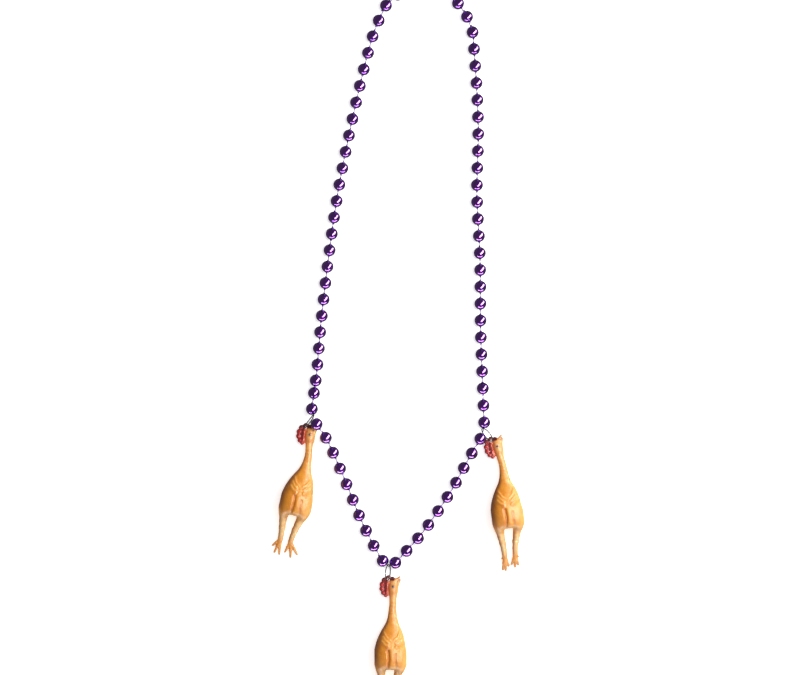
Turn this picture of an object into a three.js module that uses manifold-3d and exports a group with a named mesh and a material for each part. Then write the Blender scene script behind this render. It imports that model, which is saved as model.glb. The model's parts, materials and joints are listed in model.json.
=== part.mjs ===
// A party necklace: metallic beads moulded on one string, with three rubber-chicken charms
// on wire jump rings. It lies flat on a table, the charms on their backs.
// Millimetres, +Z up from the table, +Y from the charms to the top of the loop.

import * as THREE from "three";
import { mergeVertices } from "three/addons/utils/BufferGeometryUtils.js";
import Module from "manifold-3d";

const wasm = await Module();
wasm.setup();

// ---- driving dimensions -------------------------------------------------------------------

const BEAD_R = 5; // a 10 mm bead
const BEAD_SIDES = 8;
const STRING_R = 0.4;
const STRING_SIDES = 4;
const FOLD_GAP = 0.6; // clear string at each place the strand folds
const RING_R = 6.5; // jump ring, to the middle of its wire
const WIRE_R = 0.45;
const RING_OPEN = 0.07; // radians of gap between the ring's two ends
const HOLE_R = 2; // hole through the base of the comb
const COMB_THICK = 2.6;
const HEAD_Z = 4.5; // middle of a head above the table
const NECK_R = 3.5; // at the neck's bend
const NECK_GAP = 0.5;
const HIP_R = 2.3;
const HIP_GAP = 0.4;

// Puts the middle of the whole outline at x = y = 0.
const MIDDLE_X = -0.2;
const MIDDLE_Y = -0.4;

// The strand's route round the loop, clockwise from the upper left: the point in the middle of
// a stretch of bare string, how many beads sit between it and the next point, and the name of
// the run that starts there. Beads at the left ring ride up over that charm's beak, and one
// pair is pinched together, nearly touching.
const ROUTE = [
  { at: [-26.5, 235, 5], beads: 2, run: "strand_arch" },
  { at: [-18.5, 262, 5], beads: 2 },
  { at: [-5.5, 286, 5], beads: 2 },
  { at: [19, 295, 5], beads: 2 },
  { at: [44.5, 287, 5], beads: 2 },
  { at: [59.5, 265.5, 5], beads: 2 },
  { at: [63, 238, 5], beads: 4, run: "strand_right_1" },
  { at: [66, 182, 5], beads: 4, run: "strand_right_2" },
  { at: [65, 126, 5], beads: 4, run: "strand_right_3" },
  { at: [67.5, 70, 5], beads: 4, run: "strand_right_4" },
  { at: [68, 14.5, 5], beads: 3, run: "strand_right_5" },
  { at: [69.5, -27.5, 5], beads: 2, run: "strand_right_6" },
  { at: [70.5, -55.5, 5], beads: 1, run: "strand_right_7" },
  { at: [70.3, -69.5, 5], beads: 2, ring: "right" },
  { at: [57.3, -94, 5], beads: 2 },
  { at: [44.3, -118, 5], beads: 3, run: "strand_right_8" },
  { at: [20.8, -152.5, 5], beads: 2, run: "strand_tip" },
  { at: [2.2, -173.2, 5], beads: 1 },
  { at: [-7.5, -181.5, 5], beads: 1, ring: "bottom" },
  { at: [-16.5, -170, 5], beads: 2 },
  { at: [-29.3, -145.3, 5], beads: 3, run: "strand_left_8" },
  { at: [-45, -107, 5], beads: 2, run: "strand_left_7" },
  { at: [-56.5, -81, 6], beads: 1 },
  { at: [-62.7, -69.2, 9.9], beads: 1 },
  { at: [-70.6, -58, 8.8], beads: 1, ring: "left" },
  { at: [-70, -44.8, 5.8], beads: 2, run: "strand_left_6", pinch: 0.89 },
  { at: [-67, -21.5, 5], beads: 3, run: "strand_left_5" },
  { at: [-63.5, 18.5, 5], beads: 4, run: "strand_left_4" },
  { at: [-57.3, 72.5, 5], beads: 4, run: "strand_left_3" },
  { at: [-49.5, 126.5, 5], beads: 4, run: "strand_left_2" },
  { at: [-39, 180.5, 5], beads: 4, run: "strand_left_1" },
];

// Where each charm hangs: the hole in its comb, how far its feet swing towards +X, how far its
// head turns on its neck, how far its ring leans from upright (degrees), and the space between
// the string and the inside of the ring.
const CHARMS = {
  left: { hole: [-76.2, -66.7], tilt: -12.4, head: 1.2, lean: 8, slack: 0.9 },
  right: { hole: [76.6, -77.9], tilt: 7.5, head: 0, lean: -20, slack: 1 },
  bottom: { hole: [-8, -192.1], tilt: 0, head: -8, lean: 18, slack: 0.7 },
};

// ---- materials ----------------------------------------------------------------------------

const MATERIALS = {
  bead: { color: 0x4a1a7c, metalness: 0.9, roughness: 0.2 },
  string: { color: 0x6d5a86, metalness: 0, roughness: 0.8 },
  wire: { color: 0x4c4648, metalness: 1, roughness: 0.35 },
  rubber: { color: 0xe3a14c, metalness: 0, roughness: 0.55 },
  head: { color: 0xd8863f, metalness: 0, roughness: 0.55 },
};

const necklace = new THREE.Group();
necklace.name = "necklace";
necklace.position.set(MIDDLE_X, MIDDLE_Y, 0);

function addMesh(parent, name, geometry, material) {
  const mesh = new THREE.Mesh(geometry, new THREE.MeshStandardMaterial(MATERIALS[material]));
  mesh.name = name;
  parent.add(mesh);
  return mesh;
}

// ---- solids -------------------------------------------------------------------------------

function toSolid(geometry) {
  const bare = geometry.clone();
  bare.deleteAttribute("normal");
  bare.deleteAttribute("uv");
  const merged = mergeVertices(bare, 1e-4);
  return new wasm.Manifold(
    new wasm.Mesh({
      numProp: 3,
      vertProperties: merged.attributes.position.array,
      triVerts: new Uint32Array(merged.index.array),
    }),
  );
}

function toGeometry(solid) {
  const mesh = solid.getMesh();
  const geometry = new THREE.BufferGeometry();
  geometry.setAttribute("position", new THREE.BufferAttribute(mesh.vertProperties, 3));
  geometry.setIndex(new THREE.BufferAttribute(mesh.triVerts, 1));
  geometry.computeVertexNormals();
  return geometry;
}

// One closed geometry from several that overlap, less the cuts.
function join(pieces, cuts = []) {
  let solid = toSolid(pieces[0]);
  for (const piece of pieces.slice(1)) solid = solid.add(toSolid(piece));
  for (const cut of cuts) solid = solid.subtract(toSolid(cut));
  return toGeometry(solid);
}

const UP = new THREE.Vector3(0, 1, 0);

// A geometry made along +Y, turned to lie along a direction and moved to a point.
function placeAlong(geometry, point, direction) {
  const turn = new THREE.Quaternion().setFromUnitVectors(UP, direction.clone().normalize());
  geometry.applyQuaternion(turn);
  geometry.translate(point.x, point.y, point.z);
  return geometry;
}

// A round rod between two points, tapering from one radius to the other.
function rod(from, to, fromR, toR, sides) {
  const along = new THREE.Vector3().subVectors(to, from);
  const geometry = new THREE.CylinderGeometry(toR, fromR, along.length(), sides);
  const middle = new THREE.Vector3().addVectors(from, to).multiplyScalar(0.5);
  return placeAlong(geometry, middle, along);
}

function ball(point, rx, ry, rz, around, rows) {
  const geometry = new THREE.SphereGeometry(1, around, rows);
  geometry.scale(rx, ry, rz);
  geometry.translate(point.x, point.y, point.z);
  return geometry;
}

const at = (x, y, z) => new THREE.Vector3(x, y, z);

// ---- the strand ---------------------------------------------------------------------------

const routePoints = ROUTE.map((stop) => at(...stop.at));
const route = new THREE.CatmullRomCurve3(routePoints, true, "centripetal");

// Bead centres between two stops of the route, equally spaced along it.
function beadsAfter(index) {
  const fine = 120;
  const points = [];
  const travelled = [0];
  for (let k = 0; k <= fine; k += 1) {
    points.push(route.getPoint((index + k / fine) / ROUTE.length));
    if (k > 0) travelled.push(travelled[k - 1] + points[k].distanceTo(points[k - 1]));
  }
  const centres = [];
  const count = ROUTE[index].beads;
  for (let bead = 0; bead < count; bead += 1) {
    const share = 0.5 + ((bead + 0.5) / count - 0.5) * (ROUTE[index].pinch ?? 1);
    const wanted = travelled[fine] * share;
    const k = travelled.findIndex((distance) => distance >= wanted);
    const part = (wanted - travelled[k - 1]) / (travelled[k] - travelled[k - 1]);
    const centre = points[k - 1].clone().lerp(points[k], part);
    centre.z = Math.max(centre.z, BEAD_R + 0.04);
    centres.push(centre);
  }
  return centres;
}

// A faceted ball whose poles lie on the string, with one corner straight down on the table.
function beadGeometry(centre, along) {
  const profile = [];
  for (let step = 0; step <= 4; step += 1) {
    const angle = (step * Math.PI) / 4;
    profile.push(new THREE.Vector2(Math.sin(angle) * BEAD_R, -Math.cos(angle) * BEAD_R));
  }
  const geometry = new THREE.LatheGeometry(profile, BEAD_SIDES);
  geometry.rotateX(Math.PI / 2);
  const axis = along.clone().normalize();
  const side = new THREE.Vector3(0, 0, 1).cross(axis).normalize();
  const frame = new THREE.Matrix4().makeBasis(side, axis.clone().cross(side).negate(), axis);
  if (frame.determinant() < 0) frame.makeBasis(side, axis.clone().cross(side), axis);
  geometry.applyMatrix4(frame);
  geometry.translate(centre.x, centre.y, centre.z);
  return geometry;
}

// The end of a run's string, drawn back from the middle of the bare stretch.
function pullBack(end, towards, distance) {
  const step = new THREE.Vector3().subVectors(towards, end).normalize();
  return end.clone().addScaledVector(step, distance);
}

const ringGaps = {};

function buildStrand() {
  const starts = ROUTE.map((stop, index) => (stop.run ? index : -1)).filter((i) => i >= 0);
  starts.forEach((start, order) => {
    const next = starts[(order + 1) % starts.length];
    const count = (next - start + ROUTE.length) % ROUTE.length;
    const path = [{ point: routePoints[start] }];
    for (let step = 0; step < count; step += 1) {
      const index = start + step;
      if (ROUTE[index].ring) {
        path.push({ point: routePoints[index] });
        ringGaps[ROUTE[index].ring] = index;
      }
      for (const centre of beadsAfter(index)) path.push({ point: centre, bead: true });
    }
    path.push({ point: routePoints[next] });
    const last = path.length - 1;
    path[0].point = pullBack(path[0].point, path[1].point, FOLD_GAP / 2);
    path[last].point = pullBack(path[last].point, path[last - 1].point, FOLD_GAP / 2);

    const pieces = [];
    path.forEach((stop, i) => {
      if (!stop.bead) return;
      const along = new THREE.Vector3().subVectors(path[i + 1].point, path[i - 1].point);
      pieces.push(beadGeometry(stop.point, along));
    });
    for (let i = 0; i < last; i += 1) {
      pieces.push(rod(path[i].point, path[i + 1].point, STRING_R, STRING_R, STRING_SIDES));
    }
    addMesh(necklace, ROUTE[start].run, join(pieces), "bead");
  });
}

// ---- jump rings ---------------------------------------------------------------------------

class RingPath extends THREE.Curve {
  getPoint(t, target = new THREE.Vector3()) {
    const angle = Math.PI / 2 + RING_OPEN / 2 + t * (2 * Math.PI - RING_OPEN);
    return target.set(Math.cos(angle) * RING_R, 0, Math.sin(angle) * RING_R);
  }
}

function ringGeometry() {
  const corners = [];
  for (let side = 0; side < 6; side += 1) {
    const angle = (side * Math.PI) / 3;
    corners.push(new THREE.Vector2(Math.cos(angle) * WIRE_R, Math.sin(angle) * WIRE_R));
  }
  const section = new THREE.Shape(corners);
  const path = new RingPath();
  return new THREE.ExtrudeGeometry(section, { steps: 20, extrudePath: path, bevelEnabled: false });
}

// A ring hangs by the string through one side, with its wire in the comb's hole at the other.
function buildRing(side, charm) {
  const gap = routePoints[ringGaps[side]];
  const hole = at(charm.hole[0], charm.hole[1], HEAD_Z);
  const outward = new THREE.Vector3().subVectors(hole, gap);
  const span = outward.length();
  outward.normalize();
  const across = new THREE.Vector3(0, 0, 1).cross(outward).normalize();
  const lean = THREE.MathUtils.degToRad(charm.lean);
  const upward = outward.clone().cross(across).applyAxisAngle(outward, lean);

  // The centre is RING_R from the hole, and near enough to the string to hold it.
  const holds = RING_R - WIRE_R - STRING_R - charm.slack;
  const along = (span * span + holds * holds - RING_R * RING_R) / (2 * span);
  const above = Math.sqrt(holds * holds - along * along);
  const centre = gap.clone().addScaledVector(outward, along).addScaledVector(upward, above);

  const stand = new THREE.Group();
  const normal = upward.clone().cross(outward);
  const turn = new THREE.Matrix4().makeBasis(outward, normal, upward);
  stand.quaternion.setFromRotationMatrix(turn);
  stand.position.copy(centre);
  addMesh(stand, side + "_ring", ringGeometry(), "wire");
  necklace.add(stand);
}

// ---- charms -------------------------------------------------------------------------------
// A charm's own frame: the comb's hole at x = y = 0, the feet towards -Y, the table at z = 0.

const NECK_BEND = at(7, -24.5, 6.2); // where the neck flexes
const HIPS = {
  left: at(-2.6, -74.6, 8),
  right: at(11.8, -75, 8),
};

// Half width, centre and half thickness of the body, from the vent up to the neck.
const BODY_SECTIONS = [
  { y: -70.5, r: 10.8, x: 5.6, z: 9.8, thick: 8.6 },
  { y: -66, r: 13, x: 5.3, z: 10, thick: 10.2 },
  { y: -60, r: 13.4, x: 4.9, z: 10, thick: 10.5 },
  { y: -52, r: 12.6, x: 5, z: 10, thick: 9.7 },
  { y: -45, r: 10.7, x: 5.6, z: 9.6, thick: 8.3 },
  { y: -39, r: 7.8, x: 6.2, z: 8.8, thick: 6.4 },
  { y: -34, r: 4.9, x: 6.6, z: 7.8, thick: 4.6 },
  { y: -29, r: 3.9, x: 6.9, z: 6.9, thick: 3.7 },
];

const COMB_OUTLINE = [
  [6.2, 1.6], [4.6, 3.4], [2.2, 3.6], [0.4, 2.6], [-1.6, 3], [-3.4, 1.6], [-3.8, -0.4],
  [-5.4, -1.6], [-5.6, -3.6], [-4.8, -4.8], [-6, -6.2], [-5.8, -8], [-4.4, -8.9], [-4.5, -10.8],
  [-2.8, -11.6], [-2.4, -13.4], [-0.6, -14.2], [2.6, -13.4], [5.5, -9], [6.5, -4],
];

function headGeometry() {
  const outline = new THREE.Shape(COMB_OUTLINE.map(([x, y]) => new THREE.Vector2(x, y)));
  const comb = new THREE.ExtrudeGeometry(outline, { depth: COMB_THICK, bevelEnabled: false });
  comb.translate(0, 0, HEAD_Z - COMB_THICK / 2);

  const skull = ball(at(4.9, -4, HEAD_Z), 4.2, 6.8, 4, 10, 6);
  const beak = rod(at(5.6, -0.6, HEAD_Z), at(9.4, 4.4, HEAD_Z), 2.3, 0.5, 5);
  const end = NECK_BEND.clone().add(at(0, NECK_R + NECK_GAP / 2, -0.2));
  const neck = rod(at(5.4, -7, HEAD_Z), end, 3.1, NECK_R, 8);
  const stump = ball(end, NECK_R, NECK_R, NECK_R, 8, 4);
  const hole = rod(at(0, 0, HEAD_Z - 6), at(0, 0, HEAD_Z + 6), HOLE_R, HOLE_R, 8);
  return join([comb, skull, beak, neck, stump], [hole]);
}

// A lathed bottle, pushed out to the body's width and thickness at each height.
function bodyGeometry() {
  const profile = [new THREE.Vector2(0, 0)];
  BODY_SECTIONS.forEach((section, i) => profile.push(new THREE.Vector2(1, i + 1)));
  profile.push(new THREE.Vector2(0, BODY_SECTIONS.length + 1));
  const geometry = new THREE.LatheGeometry(profile, 12);
  const position = geometry.attributes.position;
  const first = BODY_SECTIONS[0];
  const last = BODY_SECTIONS[BODY_SECTIONS.length - 1];
  for (let i = 0; i < position.count; i += 1) {
    const row = Math.round(position.getY(i));
    const section = BODY_SECTIONS[Math.min(Math.max(row - 1, 0), BODY_SECTIONS.length - 1)];
    let y = section.y;
    if (row === 0) y = first.y - 2.6;
    if (row > BODY_SECTIONS.length) y = last.y + 2;
    const x = section.x + position.getX(i) * section.r;
    position.setXYZ(i, x, y, section.z + position.getZ(i) * section.thick);
  }
  return geometry;
}

function torsoGeometry() {
  const start = NECK_BEND.clone().add(at(0, -NECK_R - NECK_GAP / 2, 0.2));
  const pieces = [
    bodyGeometry(),
    ball(start, NECK_R, NECK_R, NECK_R, 8, 4),
    rod(start, at(6.9, -31, 7.2), NECK_R, 4, 8),
    rod(at(0.5, -71.6, 9.4), at(10, -71.6, 9.4), 3.6, 3.6, 6), // hem round the vent
  ];
  for (const side of [-1, 1]) {
    const wing = new THREE.SphereGeometry(1, 5, 4);
    wing.scale(2.8, 8.2, 2.6);
    wing.rotateZ(side * -0.42);
    wing.translate(6.2 + side * 7.4, -46.5, 15.4);
    pieces.push(wing);
    const thigh = new THREE.SphereGeometry(1, 7, 5);
    thigh.scale(5.6, 11, 6);
    thigh.rotateZ(side * -0.1);
    thigh.translate(5 + side * 7.6, -63, 11.5);
    pieces.push(thigh);
  }
  for (const hip of [HIPS.left, HIPS.right]) {
    const end = hip.clone().add(at(0, HIP_R + HIP_GAP / 2, 0));
    pieces.push(rod(at(hip.x, -66, 9), end, 3.4, HIP_R, 6));
    pieces.push(ball(end, HIP_R, HIP_R, HIP_R, 6, 4));
  }
  const table = new THREE.BoxGeometry(80, 120, 10);
  table.translate(5, -50, -5);
  return join(pieces, [table]);
}

const TOES = [
  { turn: -0.4, length: 9.3 },
  { turn: 0, length: 10.5 },
  { turn: 0.4, length: 9.3 },
];

function legGeometry(side) {
  const hip = HIPS[side];
  const inward = side === "left" ? 1 : -1;
  const top = hip.clone().add(at(0, -HIP_R - HIP_GAP / 2, 0));
  const knee = hip.clone().add(at(side === "left" ? 0.9 : -2.2, -9.5, -2));
  const ankle = hip.clone().add(at(side === "left" ? 1.6 : -4.2, -20.5, -5.4));
  const pieces = [
    ball(top, HIP_R, HIP_R, HIP_R, 6, 4),
    rod(top, knee, HIP_R * 0.97, 1.8, 6),
    rod(knee, ankle, 1.8, 1.5, 6),
    ball(ankle, 1.9, 1.9, 1.7, 5, 4),
  ];
  for (const toe of TOES) {
    const tip = ankle.clone();
    tip.x += Math.sin(toe.turn) * toe.length;
    tip.y -= Math.cos(toe.turn) * toe.length;
    tip.z = 1.2;
    pieces.push(rod(ankle, tip, 1.3, 0.75, 4));
  }
  const spur = ankle.clone().add(at(-inward * 3.6, -1.2, -0.8));
  pieces.push(rod(ankle, spur, 1, 0.6, 4));
  return join(pieces);
}

function buildCharm(side, charm) {
  const stand = new THREE.Group();
  stand.position.set(charm.hole[0], charm.hole[1], 0);
  stand.rotation.z = THREE.MathUtils.degToRad(charm.tilt);
  necklace.add(stand);

  // The head turns about the middle of the neck's bend, and the rest of the charm with it, so
  // that the hole stays where it is.
  const turn = THREE.MathUtils.degToRad(charm.head);
  addMesh(stand, side + "_head", headGeometry(), "head").rotation.z = turn;
  const below = new THREE.Group();
  const bend = at(NECK_BEND.x, NECK_BEND.y, 0);
  const moved = bend.clone().applyAxisAngle(new THREE.Vector3(0, 0, 1), turn);
  below.position.copy(moved.sub(bend));
  stand.add(below);
  addMesh(below, side + "_torso", torsoGeometry(), "rubber");
  addMesh(below, side + "_left_leg", legGeometry("left"), "rubber");
  addMesh(below, side + "_right_leg", legGeometry("right"), "rubber");
}

buildStrand();
for (const [side, charm] of Object.entries(CHARMS)) {
  buildRing(side, charm);
  buildCharm(side, charm);
}

export default necklace;
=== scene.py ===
import json
import math
import random
from collections import namedtuple
from functools import partial, reduce

import bmesh
import bpy
import numpy as np
from mathutils import Matrix, Vector


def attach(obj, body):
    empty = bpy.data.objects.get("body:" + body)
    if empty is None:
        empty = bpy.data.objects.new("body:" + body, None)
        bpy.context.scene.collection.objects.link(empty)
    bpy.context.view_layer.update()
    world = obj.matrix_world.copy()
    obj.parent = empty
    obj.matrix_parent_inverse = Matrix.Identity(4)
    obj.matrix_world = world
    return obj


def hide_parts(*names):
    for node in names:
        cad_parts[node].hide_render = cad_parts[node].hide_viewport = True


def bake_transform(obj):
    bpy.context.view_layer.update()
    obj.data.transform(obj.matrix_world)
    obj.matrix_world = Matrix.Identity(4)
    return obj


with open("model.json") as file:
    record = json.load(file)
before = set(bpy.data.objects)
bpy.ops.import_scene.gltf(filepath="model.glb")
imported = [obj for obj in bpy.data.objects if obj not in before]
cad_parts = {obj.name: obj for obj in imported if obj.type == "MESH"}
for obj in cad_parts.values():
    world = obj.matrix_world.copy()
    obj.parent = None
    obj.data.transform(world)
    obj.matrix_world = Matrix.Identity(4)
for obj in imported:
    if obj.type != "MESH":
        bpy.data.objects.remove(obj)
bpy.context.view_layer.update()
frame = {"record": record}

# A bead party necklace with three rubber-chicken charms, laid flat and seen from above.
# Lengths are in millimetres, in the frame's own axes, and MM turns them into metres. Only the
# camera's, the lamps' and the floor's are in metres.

MM = 0.001
MIDDLE = np.array([-0.2, -0.4, 0.0])  # where the route's own origin lies in the frame

# ---- driving dimensions ----

BEAD_R = 5.0
BEAD_FLOOR = 5.04  # no bead's middle is lower than this
NUB_LENGTH = 1.15  # the moulded sprue where the string leaves a bead
STRING_R = 0.4
STRING_PLIES = 2
PLY_PITCH = 3.2  # one full turn of the string's plies
PLY_GROOVE = 0.14  # half the depth of the groove between two plies, as a share of the radius
STRING_STEP = 0.5  # length of one step of the string's mesh
STRING_SIDES = 10
RING_R = 6.5
WIRE_R = 0.45
WIRE_SIDES = 16
RING_POINTS = 97
RING_OPEN = 0.07  # radians between the wire's two ends
CHAMFER_DEPTH = 0.08  # how much the wire thins at its cut ends
CHAMFER_LENGTH = 0.2
HOLE_R = 1.2
HEAD_Z = 4.5
EYE = (4.6, -4.8)  # both eyes' x and y
EYE_R = 1.25
EYE_DEPTH = 3.6  # from the head's middle to an eye's rim
EYE_DOME = 0.75
PUPIL_R = 0.8
LEAST = 1e-4  # keeps the points at an eye's crown apart
LID_R = 1.35
NECK_BEND = np.array([7.0, -24.5, 6.2])
NECK_REACH = 7.0  # how far above and below NECK_BEND the turn of the head spreads
SPLIT_NECK = -34.0  # the skin is split here, across the root of the neck
SPLIT_HIPS = -74.2  # and here, across the tops of the legs
SPLIT_LEGS = 2.5  # the left leg lies left of this, the right leg right of it
CROWN_END = -7.0  # the neck's own shape is closed here, inside the skull
VENT = (5.4, 9.8)  # the x and z of the vent between the legs
BELLY_END = -72.2  # the belly is closed here
PLEATS = 11  # round the vent
VOXEL = 0.34

# The strand's route, clockwise from the upper left: a point in the middle of a bare stretch, the
# beads between it and the next point, and the run that starts there.
ROUTE = [
    {"at": (-26.5, 235, 5), "beads": 2, "run": "strand_arch"},
    {"at": (-18.5, 262, 5), "beads": 2},
    {"at": (-5.5, 286, 5), "beads": 2},
    {"at": (19, 295, 5), "beads": 2},
    {"at": (44.5, 287, 5), "beads": 2},
    {"at": (59.5, 265.5, 5), "beads": 2},
    {"at": (63, 238, 5), "beads": 4, "run": "strand_right_1"},
    {"at": (66, 182, 5), "beads": 4, "run": "strand_right_2"},
    {"at": (65, 126, 5), "beads": 4, "run": "strand_right_3"},
    {"at": (67.5, 70, 5), "beads": 4, "run": "strand_right_4"},
    {"at": (68, 14.5, 5), "beads": 3, "run": "strand_right_5"},
    {"at": (69.5, -27.5, 5), "beads": 2, "run": "strand_right_6"},
    {"at": (70.5, -55.5, 5), "beads": 1, "run": "strand_right_7"},
    {"at": (70.3, -69.5, 5), "beads": 2, "ring": "right"},
    {"at": (57.3, -94, 5), "beads": 2},
    {"at": (44.3, -118, 5), "beads": 3, "run": "strand_right_8"},
    {"at": (20.8, -152.5, 5), "beads": 2, "run": "strand_tip"},
    {"at": (2.2, -173.2, 5), "beads": 1},
    {"at": (-7.5, -181.5, 5), "beads": 1, "ring": "bottom"},
    {"at": (-16.5, -170, 5), "beads": 2},
    {"at": (-29.3, -145.3, 5), "beads": 3, "run": "strand_left_8"},
    {"at": (-45, -107, 5), "beads": 2, "run": "strand_left_7"},
    {"at": (-56.5, -81, 6), "beads": 1},
    {"at": (-62.7, -69.2, 9.9), "beads": 1},
    {"at": (-70.6, -58, 8.8), "beads": 1, "ring": "left"},
    {"at": (-70, -44.8, 5.8), "beads": 2, "run": "strand_left_6", "pinch": 0.89},
    {"at": (-67, -21.5, 5), "beads": 3, "run": "strand_left_5"},
    {"at": (-63.5, 18.5, 5), "beads": 4, "run": "strand_left_4"},
    {"at": (-57.3, 72.5, 5), "beads": 4, "run": "strand_left_3"},
    {"at": (-49.5, 126.5, 5), "beads": 4, "run": "strand_left_2"},
    {"at": (-39, 180.5, 5), "beads": 4, "run": "strand_left_1"},
]

# Each charm: the hole in its comb, its tilt, the turn of its head, and its ring's lean and slack.
CHARMS = {
    "left": {"hole": (-76.2, -66.7), "tilt": -12.4, "head": 1.2, "lean": 8, "slack": 0.9},
    "right": {"hole": (76.6, -77.9), "tilt": 7.5, "head": 0, "lean": -20, "slack": 1},
    "bottom": {"hole": (-8, -192.1), "tilt": 0, "head": -8, "lean": 18, "slack": 0.7},
}

# A charm's own frame: the comb's hole at x = y = 0, the feet towards -Y, the table at z = 0.
# Body rows from the crown to the vent: y, middle x, half width, middle z, half thickness.
BODY_ROWS = [
    (-3, 5.0, 3.6, 4.5, 3.5),
    (-10, 5.6, 3.4, 4.6, 3.3),
    (-15, 5.9, 3.0, 5.0, 3.1),
    (-20, 6.7, 2.95, 5.6, 3.1),
    (-25, 7.0, 3.3, 6.2, 3.3),
    (-30, 6.9, 3.9, 7.0, 3.8),
    (-35, 6.6, 5.4, 7.9, 4.7),
    (-40, 6.2, 8.2, 8.9, 6.4),
    (-45, 5.8, 10.4, 9.6, 7.9),
    (-50, 5.3, 11.9, 9.9, 9.1),
    (-55, 5.0, 12.8, 10.0, 9.8),
    (-60, 4.9, 13.3, 10.0, 10.1),
    (-65, 5.2, 13.0, 10.0, 9.8),
    (-70, 5.7, 11.8, 9.8, 8.8),
    (-76, 5.7, 10.5, 9.5, 7.6),
]

# Comb lobes from over the beak round to the nape: x, y, radius.
COMB_LOBES = [
    (3.2, 1.3, 1.7),
    (-0.1, 1.4, 2.3),
    (-3.1, -0.9, 2.4),
    (-4.3, -4.5, 2.4),
    (-4.1, -8.1, 2.3),
    (-2.5, -11.2, 2.1),
    (-0.4, -13.2, 1.5),
]

# Both legs from thigh to ankle: y, z, radius.
LEG_ROWS = [(-67, 9.6, 5.0), (-73, 8.5, 3.8), (-79, 7.3, 3.0)]
LEG_ROWS += [(-84.5, 6.1, 2.6), (-90, 4.3, 2.25), (-95, 2.9, 2.2)]


def bones(*middles):
    """A leg's x, y, z and radius at each row, from its x there."""
    return [(x, *row) for x, row in zip(middles, LEG_ROWS)]


# Each leg, and the tips of its toes and of its spur: x, y.
LEGS = {
    "left": {
        "bones": bones(-2.5, -2.7, -2.2, -1.6, -1.2, -1.1),
        "toes": [(-3.9, -106.2), (-1.6, -107.0), (0.9, -103.8)],
        "spur": (-4.0, -97.6),
    },
    "right": {
        "bones": bones(12.8, 12.3, 10.6, 9.2, 8.2, 7.6),
        "toes": [(3.9, -102.9), (6.3, -105.2), (9.0, -103.8)],
        "spur": (10.3, -97.6),
    },
}
# The left charm's toes are spread wider than the others'.
SPREAD_TOES = {
    "left": [(-6.0, -100.6), (-3.5, -106.0), (0.6, -106.6)],
    "right": [(5.0, -103.8), (10.2, -107.0), (14.8, -103.8)],
}

# ---- camera ----

CAMERA_HEIGHT = 2.4
VIEW_WIDTH = 0.6588  # metres of table across the picture
VIEW_MIDDLE = (0.0014, 0.0070)
SENSOR = 36.0


def add_camera():
    data = bpy.data.cameras.new("camera")
    data.sensor_width = SENSOR
    data.lens = SENSOR * (CAMERA_HEIGHT - BEAD_R * MM) / VIEW_WIDTH
    camera = bpy.data.objects.new("camera", data)
    camera.location = (*VIEW_MIDDLE, CAMERA_HEIGHT)
    bpy.context.scene.collection.objects.link(camera)
    bpy.context.scene.camera = camera


# ---- lights and floor ----

Lamp = namedtuple("Lamp", "place long_side size watts purpose")

# A lamp's place and sizes are in metres. Its purpose is to light the surfaces or to show as a
# reflection, as a studio's white cards do.
LAMPS = {
    "key_right": Lamp((0.86, 0.30, 0.90), (0.59, 0.95, -1.0), (1.0, 0.60), 13, "light"),
    "card_right": Lamp((0.68, 0.13, 0.66), (0.83, 1.32, -1.12), (1.9, 0.36), 62, "reflection"),
    "card_below": Lamp((0.10, -1.35, 0.22), (1.0, 0.0, 0.0), (2.3, 0.26), 42, "reflection"),
    "fill_top": Lamp((0.35, 0.3, 1.9), (1.0, 0.0, 0.0), (1.6, 1.6), 15, "light"),
}
WORLD_STRENGTH = 0.27
FLOOR_SIZE = 6.0  # metres


def add_lights():
    for name, lamp in LAMPS.items():
        data = bpy.data.lights.new(name, "AREA")
        data.shape = "RECTANGLE"
        data.size, data.size_y = lamp.size
        data.energy = lamp.watts
        light = bpy.data.objects.new(name, data)
        back = Vector(lamp.place).normalized()
        along = Vector(lamp.long_side)
        along = (along - back * along.dot(back)).normalized()
        turn = Matrix((along, back.cross(along), back)).transposed().to_4x4()
        light.matrix_world = Matrix.Translation(lamp.place) @ turn
        light.visible_glossy = lamp.purpose == "reflection"
        light.visible_diffuse = lamp.purpose == "light"
        bpy.context.scene.collection.objects.link(light)
    world = bpy.data.worlds.new("studio")
    world.use_nodes = True
    background = world.node_tree.nodes["Background"]
    background.inputs["Color"].default_value = (1.0, 0.99, 0.98, 1.0)
    background.inputs["Strength"].default_value = WORLD_STRENGTH
    bpy.context.scene.world = world
    bpy.context.scene.view_settings.view_transform = "Standard"


def add_floor(material):
    half = FLOOR_SIZE / 2
    corners = [(-half, -half, 0), (half, -half, 0), (half, half, 0), (-half, half, 0)]
    mesh = bpy.data.meshes.new("floor")
    mesh.from_pydata(corners, [], [(0, 1, 2, 3)])
    mesh.materials.append(material)
    floor = bpy.data.objects.new("floor", mesh)
    floor.visible_glossy = False
    bpy.context.scene.collection.objects.link(floor)


# ---- materials ----


def srgb(red, green, blue):
    """A colour given as the screen's 0 to 255 values, made linear."""
    def linear(value):
        share = value / 255
        return share / 12.92 if share <= 0.04045 else ((share + 0.055) / 1.055) ** 2.4
    return (linear(red), linear(green), linear(blue), 1.0)


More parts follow.
